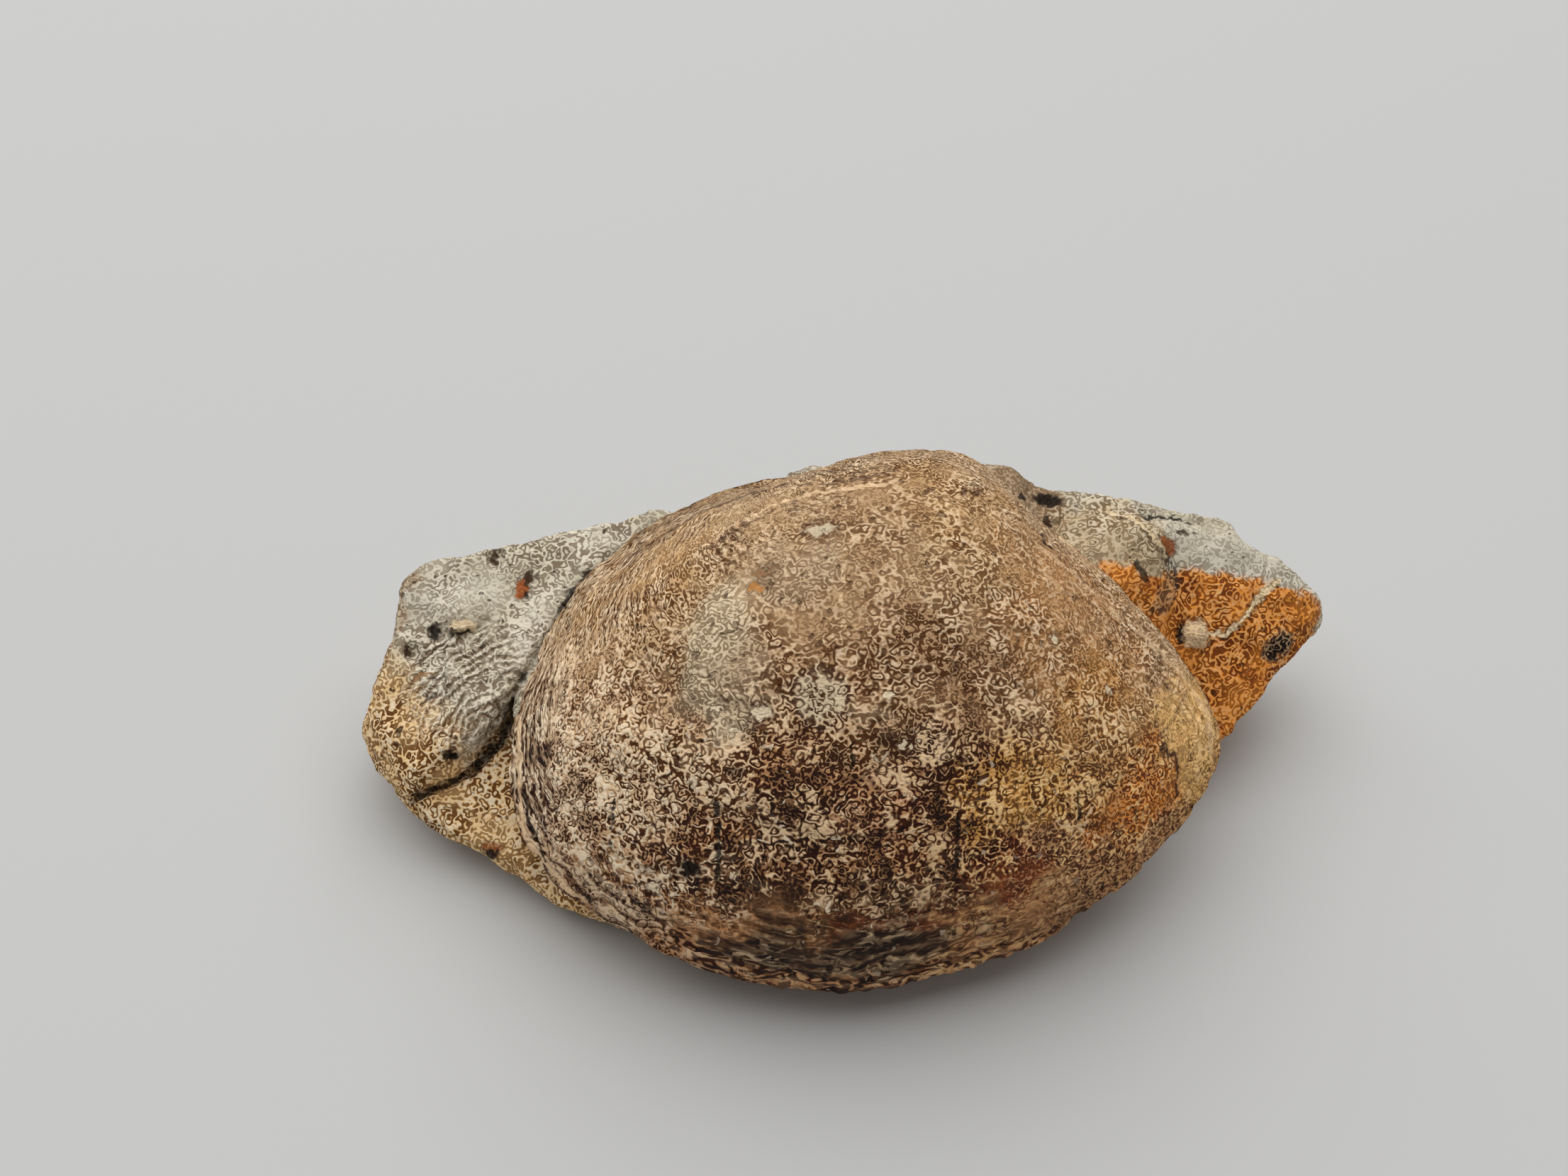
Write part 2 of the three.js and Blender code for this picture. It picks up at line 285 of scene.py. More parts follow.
rock = {
    # each lump's faces: turn about +Z, lift above level, millimetres from the lump's middle
    "lumps": {
        "leftSlab": ((-42, 13, 16.5), 12, [
            (-102, 70, 4.4), (-132, 50, 7.3), (165, 9, 13.6), (-171, 3, 17.5), (-141, 6, 15.1),
            (134, 6, 17), (102, 12, 14.2), (-74, 6, 10), (-34, -6, 4.7), (10, -74, 5.7),
            (62, 5, 22), (0, 5, 23)]),
        "slabTail": ((-27, 21, 20), 12, [
            (-102, 70, 4.5), (102, 12, 8.1), (20, 4, 9), (0, -90, 8), (-160, 0, 9), (-60, -10, 7),
            (60, -50, 9)]),
        "leftFoot": ((-34, 2, 8), 12, [
            (-105, 64, 4.1), (-125, 3, 12.8), (-155, 0, 18.5), (-115, 0, 12.6), (122, 4, 14.5),
            (122, -30, 12), (-134, -69, 8.3), (0, -90, 5.3), (20, -35, 13), (60, 0, 16), (0, 0, 18)]),
        "rightLump": ((36, 18, 16), 12, [
            (-40, 76, 9.8), (-74, 45, 3.6), (-40, 25, 16.1), (-39, -6, 15), (16, 6, 24.8),
            (65, 9, 14.9), (88, 3, 12.5), (-8, -65, 12.4), (0, -90, 12.5), (-85, 9, 10.3),
            (-160, -38, 15), (140, -30, 17), (180, 0, 24)]),
        "hump": ((30.5, 21.5, 23.5), 4, [
            (-90, 78, 5.9), (90, 14, 6.2), (8, 5, 8.5), (-72, 28, 5.5), (180, 0, 9), (0, -90, 6)]),
        "backLayer": ((34, 27.5, 24), 14, [
            (-65, 74, 2.7), (86, 6, 2.9), (29, 5, 11.4), (180, 0, 20), (-84, 0, 3), (0, -90, 4)]),
        "beakMud": ((17.5, 28.5, 24), 5, [
            (-70, 78, 8.4), (85, 10, 5.6), (12, 22, 6.8), (170, 12, 9), (-90, 0, 7), (0, -90, 9),
            (60, -40, 8)]),
        "back": ((-4, 17, 12), 10, [
            (-95, 77, 10), (97, 12, 13), (68, 3, 14), (132, 8, 25), (40, -2, 25), (172, -22, 29),
            (-10, -20, 30), (0, -90, 8.4), (88, -44, 12.5), (140, -40, 17), (-90, -10, 14)]),
        "base": ((0, 9, 10), 10, [
            (0, -90, 10.8), (-90, 68, 8), (172, -36, 16.5), (-12, -34, 19), (-97, -26, 18),
            (88, -22, 19), (133, -14, 21), (48, -12, 23), (-138, -22, 18.5), (-47, -24, 20),
            (180, 12, 28), (0, 12, 28)]),
    },
    # round hollows and knobs: middle, then half sizes along X, Y and Z
    "hollows": [
        (-48.6, 14.6, 21.4, 1.1, 1.3, 1.2), (-51.7, 12.6, 20.1, 0.8, 1.1, 0.9),
        (-42, 23.6, 24.8, 0.8, 1.5, 1.3), (-45.8, 1.1, 14.4, 1.3, 1, 0.9),
        (51.6, 16.4, 15.4, 1.7, 1.3, 1.5), (24.2, 27.8, 30.4, 1.9, 0.9, 1.4),
        (4, 30, 15, 3.2, 2.2, 2.4), (-24, 27.5, 15, 2.6, 1.8, 2), (30, 31.5, 15, 2.4, 1.8, 2.2)],
    "knobs": [
        (-45.6, 14.9, 21.5, 1.7, 0.9, 0.7), (41.7, 16.9, 18.1, 1.6, 1.5, 1.6),
        (-31, 26, 17, 6, 3.5, 4.5), (16, 27, 9, 7, 3.5, 4)],
    "wander": 0.5, "lumpGrid": (90, 130), "ballGrid": (16, 24),  # rings and sides
    "socketGrid": (120, 60, 20), "socketGap": 0.06, "voxel": 0.46,
    "bend": 0.9, "bendSize": 4,  # chips and layers are bent by this
    "coarseHeight": 0.45, "coarseSize": 5, "fineHeight": 0.14, "fineSize": 1.3, "sunk": 0.25,
    "chips": [(8, 1.9, 3), (3.2, 0.9, 5), (1.5, 0.35, 9)],  # their grain, depth and seed
    # layers that show on broken sides, and which way is square to them
    "bedding": (0.07, -0.25, 0.96), "bedThickness": 1.7, "bedHeight": 0.5,
    # grooves: half width, depth, then the places that each runs through
    "grooves": [
        (0.6, 1.2, [(-51.5, -0.9, 8.6), (-50.3, -0.4, 9.1), (-45.9, 0.9, 10.5), (-44.1, 1.7, 11.1)]),
        (0.7, 1.5, [(-44.1, 1.7, 11.1), (-42.3, 3.5, 12.2), (-40.9, 4.7, 13), (-40, 6.6, 14),
                    (-39, 9, 15.1), (-38.1, 10.1, 18.2)]),
        (0.4, 0.5, [(-47.2, 14.3, 21), (-44.2, 14.5, 21.5), (-42.9, 15.7, 21.9)]),
        (0.5, 0.6, [(35.5, 27.2, 27.3), (38.4, 27.8, 27), (43.2, 28.1, 25.8)]),
        (0.35, 0.5, [(40.4, 18, 19.9), (39.3, 16.3, 18.6)]),
        (0.45, 0.8, [(-33.4, 15.2, 24), (-32.2, 17.8, 24.4), (-30.4, 20.2, 25.2), (-28, 21.4, 26.8)]),
    ],
}


def directions(rings, sides):
    # Unit vectors in rings about X, without the two poles.
    fromPole = np.pi * np.arange(rings - 1, 0, -1)[:, None] / rings
    around = 2 * np.pi * np.arange(sides)[None, :] / sides
    return np.stack([np.cos(fromPole) + 0 * around, np.sin(fromPole) * np.cos(around),
                     np.sin(fromPole) * np.sin(around)], -1)


def lumpGrid(middle, sharpness, faces):
    # The distance along a direction is one over the p-norm of (direction . normal) / reach, where
    # the sharpness is p.
    direction = directions(*rock["lumpGrid"])
    total = 0
    for turn, lift, reach in faces:
        turn, lift = np.radians(turn), np.radians(lift)
        normal = np.array([np.cos(turn) * np.cos(lift), np.sin(turn) * np.cos(lift), np.sin(lift)])
        total = total + (np.maximum(0, direction @ normal) / reach) ** sharpness
    distance = total ** (-1 / sharpness)
    points = np.array(middle) + distance[..., None] * direction
    return points + rock["wander"] * wander(points)[..., None] * direction


def ballGrid(x, y, z, *halfSizes):
    # An ellipsoid: every direction times the half sizes.
    return np.array([x, y, z]) + directions(*rock["ballGrid"]) * np.array(halfSizes)


def largestPart(mesh):
    # Marks the vertices of the largest joined part: each takes the lowest number among its own
    # and its neighbours' again and again until none changes.
    ends = np.empty(len(mesh.edges) * 2, np.int32)
    mesh.edges.foreach_get("vertices", ends)
    first, second = ends.reshape(-1, 2).T
    label, changed = np.arange(len(mesh.vertices)), True
    while changed:
        lowest = label.copy()
        np.minimum.at(lowest, first, label[second])
        np.minimum.at(lowest, second, label[first])
        lowest = lowest[lowest]
        changed = not np.array_equal(lowest, label)
        label = lowest
    return label == np.bincount(label).argmax()


def dropCrumbs(mesh):
    # Deletes what isn't joined to the mesh's largest part.
    crumbs = np.flatnonzero(~largestPart(mesh))
    made = bmesh.new()
    made.from_mesh(mesh)
    made.verts.ensure_lookup_table()
    bmesh.ops.delete(made, geom=[made.verts[k] for k in crumbs], context="VERTS")
    made.to_mesh(mesh)
    made.free()
    print("loose crumbs dropped:", len(crumbs), "vertices")


def makeRock():
    # Lumps and knobs joined, hollows and the shell's socket cut, the base cut level, then one even mesh.
    lumps = [lumpGrid(*lump) for lump in rock["lumps"].values()]
    knobs = [ballGrid(*ball) for ball in rock["knobs"]]
    hollows = [ballGrid(*ball) for ball in rock["hollows"]]
    socket = shellGrid(*rock["socketGrid"])[0]
    socket = socket + rock["socketGap"] * gridNormals(socket)
    body = putInScene("rockRough", closedMesh("rockRough", lumps[0])[0])
    tools = []
    for kind, grids in (("UNION", lumps[1:] + knobs), ("DIFFERENCE", hollows + [socket])):
        for grid in grids:
            tool = putInScene("rockTool", closedMesh("rockTool", grid)[0])
            cut = body.modifiers.new("cut", "BOOLEAN")
            cut.operation, cut.solver, cut.object = kind, "MANIFOLD", tool
            tools.append(tool)
    even = body.modifiers.new("even", "REMESH")
    even.mode, even.voxel_size = "VOXEL", rock["voxel"] * mm
    evaluated = body.evaluated_get(bpy.context.evaluated_depsgraph_get())
    mesh = bpy.data.meshes.new_from_object(evaluated)
    dropCrumbs(mesh)
    for old in [body] + tools:
        oldMesh = old.data
        bpy.data.objects.remove(old)
        bpy.data.meshes.remove(oldMesh)
    count = len(mesh.vertices)
    points, normals = np.empty(count * 3), np.empty(count * 3)
    mesh.vertices.foreach_get("co", points)
    mesh.vertex_normals.foreach_get("vector", normals)
    points, normals = points.reshape(-1, 3) / mm, normals.reshape(-1, 3)
    push = np.stack([cloudNoise(points, rock["bendSize"], 2, seed) for seed in (43, 47, 53)], -1)
    bent = points + rock["bend"] * push
    height = (rock["coarseHeight"] * cloudNoise(points, rock["coarseSize"], 3, 23)
              + rock["fineHeight"] * cloudNoise(points, rock["fineSize"], 2, 29)
              + sum(deep * chips(bent, grain, seed) for grain, deep, seed in rock["chips"]))
    # layers: a saw along the bedding's normal, on faces that stand across it
    bedding = np.array(rock["bedding"])
    layer = bent @ bedding / rock["bedThickness"] + 0.5 * cloudNoise(points, 8, 2, 59)
    across = smoothStep(np.abs(normals @ bedding), 0.8, 0.4)
    height += rock["bedHeight"] * across * (np.abs(2 * (layer % 1) - 1) ** 0.5 - 0.7)
    height -= height.mean() + rock["sunk"]
    print("rock relief from", height.min().round(2), "to", height.max().round(2), "mm")
    for wide, deep, places in rock["grooves"]:
        height -= deep * (1 - smoothStep(lineDistance(points, places), 0.4 * wide, 1.5 * wide))
    points = points + height[:, None] * normals
    points[:, 2] = np.maximum(points[:, 2], 0)
    mesh.vertices.foreach_set("co", (points * mm).ravel())
    mesh.update()
    mesh.shade_smooth()
    mesh.name = "rockMatrix"
    return putInScene("rockPiece", mesh)


shellPiece = makeShell()
print("shell made:", len(shellPiece.data.polygons), "faces")
rockPiece = makeRock()
print("rock made:", len(rockPiece.data.polygons), "faces")

for piece, node, slotName in ((shellPiece, "clam_shell", "fossil_shell"),
                              (rockPiece, "rock_matrix", "matrix_rock")):
    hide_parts(node)
    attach(piece, "root")


# Materials

class Wire:
    # One output socket of a material. Sums of wires are written as Python and add Math nodes.
    def __init__(self, tree, socket):
        self.tree, self.socket = tree, socket

    def node(self, kind, settings, sockets, output=0):
        # Any other node: its settings go in first, then the values or links of its sockets.
        made = self.tree.nodes.new("ShaderNode" + kind)
        for name, value in settings.items():
            setattr(made, name, value)
        for key, value in sockets.items():
            if isinstance(value, Wire):
                self.tree.links.new(value.socket, made.inputs[key])
            else:
                made.inputs[key].default_value = value
        return Wire(self.tree, made.outputs[output])

    def math(self, operation, first, second=0.0):
        return self.node("Math", {"operation": operation}, {0: first, 1: second})

    def __add__(self, other):
        return self.math("ADD", self, other)

    def __sub__(self, other):
        return self.math("SUBTRACT", self, other)

    def __rsub__(self, other):
        return self.math("SUBTRACT", other, self)

    def __mul__(self, other):
        return self.math("MULTIPLY", self, other)

    __radd__, __rmul__ = __add__, __mul__


def linear(code):
    # The linear values of a colour given as it looks on a screen.
    parts = [int(code[k:k + 2], 16) / 255 for k in (1, 3, 5)]
    return tuple(p / 12.92 if p <= 0.04045 else ((p + 0.055) / 1.055) ** 2.4 for p in parts) + (1.0,)


def band(value, low, high):
    # 0 before low, 1 past high and a smooth S between; low may be the larger.
    return value.node("MapRange", {"interpolation_type": "SMOOTHSTEP"},
                      {"Value": value, "From Min": low, "From Max": high})


def strongest(masks):
    # The highest of several masks at each place.
    return reduce(lambda first, second: first.math("MAXIMUM", first, second), masks)


def away(value, middle):
    # How far a value is from the middle one.
    return value.math("ABSOLUTE", value - middle)


def vectorMath(operation, first, second):
    return first.node("VectorMath", {"operation": operation}, {0: first, 1: second})


def length(vector):
    return vector.node("VectorMath", {"operation": "LENGTH"}, {0: vector}, 1)


def dot(vector, direction):
    return vector.node("VectorMath", {"operation": "DOT_PRODUCT"}, {0: vector, 1: direction}, 1)


def stretched(direction, distance):
    # The vector that reaches that distance along a fixed direction.
    return distance.node("VectorMath", {"operation": "SCALE"}, {0: direction, "Scale": distance})


def axes(place):
    # The X, Y and Z of a place, from one node.
    parts = place.node("SeparateXYZ", {}, {0: place})
    return [Wire(place.tree, socket) for socket in parts.socket.node.outputs]


def cloud(place, grain, detail=2.0, roughness=0.5, bend=0.0, seed=0):
    # Noise about 0.5 with lumps one grain across; another seed looks at another part of it.
    moved = vectorMath("ADD", place, (17.3 * seed, 9.1 * seed, 5.7 * seed))
    return place.node("TexNoise", {}, {"Vector": moved, "Scale": 1 / grain, "Detail": detail,
                                       "Roughness": roughness, "Distortion": bend})


def sine(value):
    return value.math("SINE", value)


def crooked(place, grain, turns, seed):
    # Crooked lines, from -1 to 1: the sine of a cloud times the turns.
    return sine(cloud(place, grain, 1, 0.45, 0, seed) * turns)


def ragged(place, grain, amount, seed=0):
    # The place pushed about by three noises, so that what is drawn there has ragged edges.
    moved = vectorMath("ADD", place, (13.9 * seed, 4.3 * seed, 8.8 * seed))
    push = place.node("TexNoise", {}, {"Vector": moved, "Scale": 1 / grain, "Detail": 1.0}, 1)
    return vectorMath("ADD", place, vectorMath("MULTIPLY", vectorMath("SUBTRACT", push, (0.5, 0.5, 0.5)),
                                               (amount * 2, amount * 2, amount * 2)))


def zone(place, middle, half, soft=0.3):
    # 1 inside the ellipsoid with that middle and half sizes, fading to 0 around its edge.
    scaled = vectorMath("DIVIDE", vectorMath("SUBTRACT", place, middle), half)
    return band(length(scaled), 1 + soft, 1 - soft)


def ring(place, middle, radius, wide):
    # 1 on the sphere of that radius, fading to 0 within the width.
    return band(away(length(vectorMath("SUBTRACT", place, middle)), radius), wide, wide / 3)


def lineReach(place, places):
    # The distance to a line through the places: to each stretch it is that to the nearest place
    # on it, and the least of them counts.
    distances = []
    for start, end in zip(places, places[1:]):
        run = np.subtract(end, start)
        off = vectorMath("SUBTRACT", place, start)
        share = dot(off, run / (run @ run))
        share = share.node("Clamp", {}, {"Value": share})
        distances.append(length(vectorMath("SUBTRACT", off, stretched(run, share))))
    return reduce(lambda first, second: first.math("MINIMUM", first, second), distances)


def track(place, places, wide):
    # 1 on a line through the places, fading to 0 beyond its half width.
    return band(lineReach(place, places), wide * 1.4, wide * 0.6)


def coat(under, over, mask, way="MIX"):
    # One colour over another where the mask is 1.
    return mask.node("Mix", {"data_type": "RGBA", "blend_type": way}, {0: mask, 6: under, 7: over}, 2)


def newFinish(name):
    # A material, a wire with the place on the object in millimetres, and its shader.
    material = bpy.data.materials.new(name)
    material.use_nodes = True
    tree = material.node_tree
    shader = tree.nodes["Principled BSDF"]
    shader.inputs["Specular IOR Level"].default_value = 0.2
    metres = Wire(tree, tree.nodes.new("ShaderNodeTexCoord").outputs["Object"])
    return material, vectorMath("MULTIPLY", metres, (1 / mm, 1 / mm, 1 / mm)), shader


def finish(material, piece, shader, colour, roughness, height):
    # Colour and roughness to the shader, and height in millimetres as bump.
    bump = height.node("Bump", {}, {"Strength": 1.0, "Distance": mm, "Height": height})
    for wire, socket in ((colour, "Base Color"), (roughness, "Roughness"), (bump, "Normal")):
        colour.tree.links.new(wire.socket, shader.inputs[socket])
    piece.data.materials.clear()
    piece.data.materials.append(material)


shellFinish = {
    "colours": {
        "upper": "#cba77c", "lower": "#c78e5c", "tintUpper": "#806234", "tintLower": "#543619",
        "paleUpper": "#fae0bc", "paleBare": "#c09870", "paleLeft": "#ffe8c6", "paleMid": "#f2d0a4",
        "paleRight": "#ffd494",
        "gold": "#dca862", "warm": "#cb8a46", "grey": "#e3d0ae", "shade": "#9e7048", "plum": "#b08a72",
        "cream": "#ffdaac", "pink": "#c08a60", "dark": "#43230f", "amber": "#e6a650", "rust": "#fa983a",
        "redBrown": "#98481c", "slate": "#302219", "yellow": "#ffc97a", "lineTint": "#7a5a3c",
        "white": "#fae6c2", "black": "#160d07",
    },
    # size and turns of each kind of crooked grain, and how often the growth lines come
    "curlyGrain": (1.15, 28), "drawnGrain": (0.95, 28), "fineGrain": (0.8, 26),
    "growthStretch": (95, 105, 0), "lineTurns": 430,
    # where each colour lies: its name, strength, middle, half width along X and half height, in mm
    "zones": [
        ("warm", 0.55, (24, 2, 35), 11, 12),
        ("gold", 0.5, (-22, 13, 34), 9, 9),
        ("gold", 0.3, (12, 14, 44), 8, 9),
        ("shade", 0.3, (2.5, 11, 44.5), 7, 6),
        ("grey", 0.9, (-14, -5, 38.5), 5.5, 8),
        ("grey", 0.5, (-6, 3, 43), 5, 4),
        ("shade", 0.5, (4, -8, 39), 18, 8),
        ("plum", 0.5, (-36, -2, 20), 3, 13),
        ("cream", 0.8, (-24, -12, 28), 8, 9),
        ("cream", 0.85, (-15, -15, 31), 5, 4.5),
        ("cream", 0.7, (-8, -12.3, 35.8), 3, 2),
        ("dark", 0.7, (-5, -19, 29), 6, 5),
        ("dark", 0.65, (2.4, -11.5, 37.5), 4, 2),
        ("dark", 0.55, (9.1, -16.3, 31.3), 4, 4),
        ("dark", 0.5, (-14, -21, 22), 7, 4),
        ("pink", 0.8, (3, -18, 30), 4.5, 3.5),
        ("amber", 0.8, (17, -15, 28.5), 8, 5),
        ("amber", 0.45, (27, -6, 28), 8, 8),
        ("rust", 0.9, (31, -9.5, 20.5), 7, 5.5),
        ("rust", 0.6, (-17.3, -15.9, 28.4), 1.6, 1.6),
        ("redBrown", 0.85, (17, -19.5, 21), 10, 3.6),
        ("redBrown", 0.8, (5, -24, 18), 9, 2.6),
        ("slate", 0.9, (2, -25, 13.5), 20, 3.6),
        ("slate", 0.25, (22, -19, 13), 10, 4),
        ("paleUpper", 0.5, (-27, -19, 13), 8, 4),
        ("yellow", 0.85, (38.2, -1.8, 21), 4, 9),
        ("dark", 0.65, (3, -23, 20.5), 16, 3.5),
        ("shade", 0.3, (-3, 3, 44), 9, 5),
        ("cream", 0.4, (3, -13, 36), 12, 4),
        ("paleUpper", 0.5, (-34, -6, 20), 5, 14),
    ],
    # where the grain is faint: strength, middle, half width and half height
    "calm": [(0.35, (-17, 15, 38), 14, 7), (0.3, (2, 12, 45), 14, 5), (0.3, (24, 8, 38), 9, 5),
             (0.5, (38.2, -1.8, 21), 4, 9), (0.3, (-14, -5, 38.5), 5.5, 8),
             (0.35, (-5, 1.5, 43.5), 14, 6),
             (0.5, (8, -23, 16), 26, 6)],
    # where the grain runs along the growth lines: middle, half width and half height
    "lined": [((-22, 16, 34), 22, 14), ((-36.5, -3, 18), 4.5, 20), ((8, -24, 12), 34, 6),
              ((4, 20, 43), 18, 3.5)],
    # where the growth lines are dark: strength, middle, half width and half height
    "margins": [(1, (-35.5, -4, 19), 3.2, 18), (0.9, (-30, -17, 12), 10, 7), (0.9, (8, -25, 9), 34, 4.5)],
    # the upper right edge, with lines beside it: how far apart, how far they reach, and its places
    "edgeLines": (1.2, 7, [(17.3, 11.1, 41.8), (23.6, 10.9, 36.5), (31.1, 8.1, 30.3), (36.6, 5.8, 25.7),
                           (40.3, 2.3, 21.7), (41.5, -2, 18)]),
    # small marks: colour, strength, middle, half size
    "spots": [
        ("white", 0.9, (-9.8, -10.8, 36.6), 1.3), ("white", 0.8, (-12.9, -11.4, 35.1), 0.7),
        ("white", 0.9, (-14.7, -9.6, 35.8), 0.7), ("white", 0.8, (3.4, -9.9, 38.8), 0.7),
        ("white", 0.9, (5.4, -13.8, 35.1), 0.8), ("white", 0.9, (21.3, -0.3, 36.6), 0.9),
        ("white", 0.7, (31.6, 7.8, 29.6), 0.6), ("white", 0.7, (27.7, -2.5, 30.6), 0.6),
        ("white", 0.9, (-21.5, -19.9, 18.4), 1), ("white", 0.8, (-22.6, -18.7, 20), 0.8),
        ("warm", 0.8, (-10.6, 1.7, 42.7), 1), ("shade", 0.6, (-9.6, 3.5, 43.3), 1.2),
        ("grey", 0.8, (-3.6, 8.1, 45.1), 1.7), ("white", 0.7, (-1.9, -20.4, 27.7), 0.6),
        # painted shade: black in the pit low on the left, with the dark halo drawn round every spot
        ("black", 0.95, (-17.9, -20.1, 21.8), 1.4),
    ],
    # two round scars: colour, middle and radius
    "scars": [("grey", (-3.8, -10.1, 38.5), 2.8), ("cream", (7.9, -13.3, 34.8), 2.1)],
    # drawn lines: colour, strength, half width, then the places they run through
    "lines": [
        ("dark", 0.7, 0.2, [(-25.1, -5.6, 32.3), (-28.1, -8.5, 28)]),
        ("dark", 0.9, 0.3, [(34.5, -4.4, 23.5), (36.4, -4.9, 21.1), (36.6, -7.5, 17.7)]),
        ("dark", 0.7, 0.25, [(24.7, -14.8, 22.4), (28.4, -13, 21), (32.2, -10.7, 19.6)]),
        ("cream", 0.8, 0.2, [(26.2, -12.9, 23.2), (24.3, -15.2, 22.3), (22.6, -16.9, 21)]),
        ("cream", 0.8, 0.2, [(27.6, -14.5, 19.6), (24.3, -15.2, 22.3), (21.7, -15.4, 24)]),
        ("cream", 0.6, 0.25, [(-1.3, 2.2, 44.6), (-1.5, -1.4, 43.6), (-1.4, -3.8, 42.4)]),
        # painted highlight: a faint pale line along the upper right edge, where the rim catches the light
        ("cream", 0.4, 0.5, [(20.6, 11.3, 39.3), (23.6, 10.9, 36.5), (31.1, 8.1, 30.3), (36.6, 5.8, 25.7),
                              (40.3, 2.3, 21.7), (41.5, -2, 18)]),
        ("cream", 0.8, 0.6, [(-37.6, 1.7, 20.2), (-37.7, -1.5, 19.3), (-37.6, -4.7, 17.4),
                             (-37.2, -7.8, 14.9), (-35.9, -10.6, 13.1), (-33.9, -13.4, 12.9),
                             (-30.1, -16.7, 11.1)]),
        # painted shade: black in the gap where the shell meets the rock at the upper left
        ("black", 0.95, 0.35, [(-33.4, 15, 23.8), (-32.4, 17.6, 24.3), (-30.4, 20.2, 25.2)]),
        # painted shade: black in the crevices where the shell meets the rock on the right and beside the beak
        ("black", 0.9, 0.45, [(21.7, 14.8, 37.5), (21.6, 13, 38.2), (22.1, 12.4, 37.8)]),
        ("black", 0.9, 0.4, [(22.7, 25.9, 29.8), (23.1, 25.1, 29.3)]),
        # painted shade: a dark line that carries the gap at the upper left on towards the hinge
        ("dark", 0.85, 0.22, [(-30.4, 20.2, 25.2), (-27.9, 21.2, 27), (-24.8, 23.6, 28),
                              (-20.6, 24.5, 29.9)]),
        ("dark", 0.75, 0.35, [(-25.2, 18.8, 29.8), (-22.8, 19.8, 31.2), (-16.9, 22.4, 33.2),
                              (-11.5, 20.9, 37.5), (-7.4, 19.2, 41)]),
        ("cream", 0.6, 0.35, [(-24.5, 16.3, 31.6), (-19.8, 18.1, 34.2), (-11.2, 17.5, 40), (-7.2, 17, 42.2)]),
        ("cream", 0.7, 0.3, [(-16.5, 9.9, 40.4), (-13.8, 12, 41.1), (-8.6, 14.3, 42.7), (-5.9, 14.2, 43.8)]),
        ("dark", 0.6, 0.3, [(-16.2, 8.9, 40.8), (-13.6, 10.9, 41.6), (-8.4, 13.2, 43.2), (-5.7, 13.3, 44.1)]),
        ("dark", 0.65, 0.35, [(-5.9, 17, 42.9), (-1.3, 16.1, 44.4), (2.3, 16.6, 44.7), (5.1, 17.6, 44.5)]),
        ("cream", 0.6, 0.4, [(-5.1, 14.5, 43.9), (-0.2, 14.3, 45.1), (3.7, 15, 45.2)]),
    ],
}


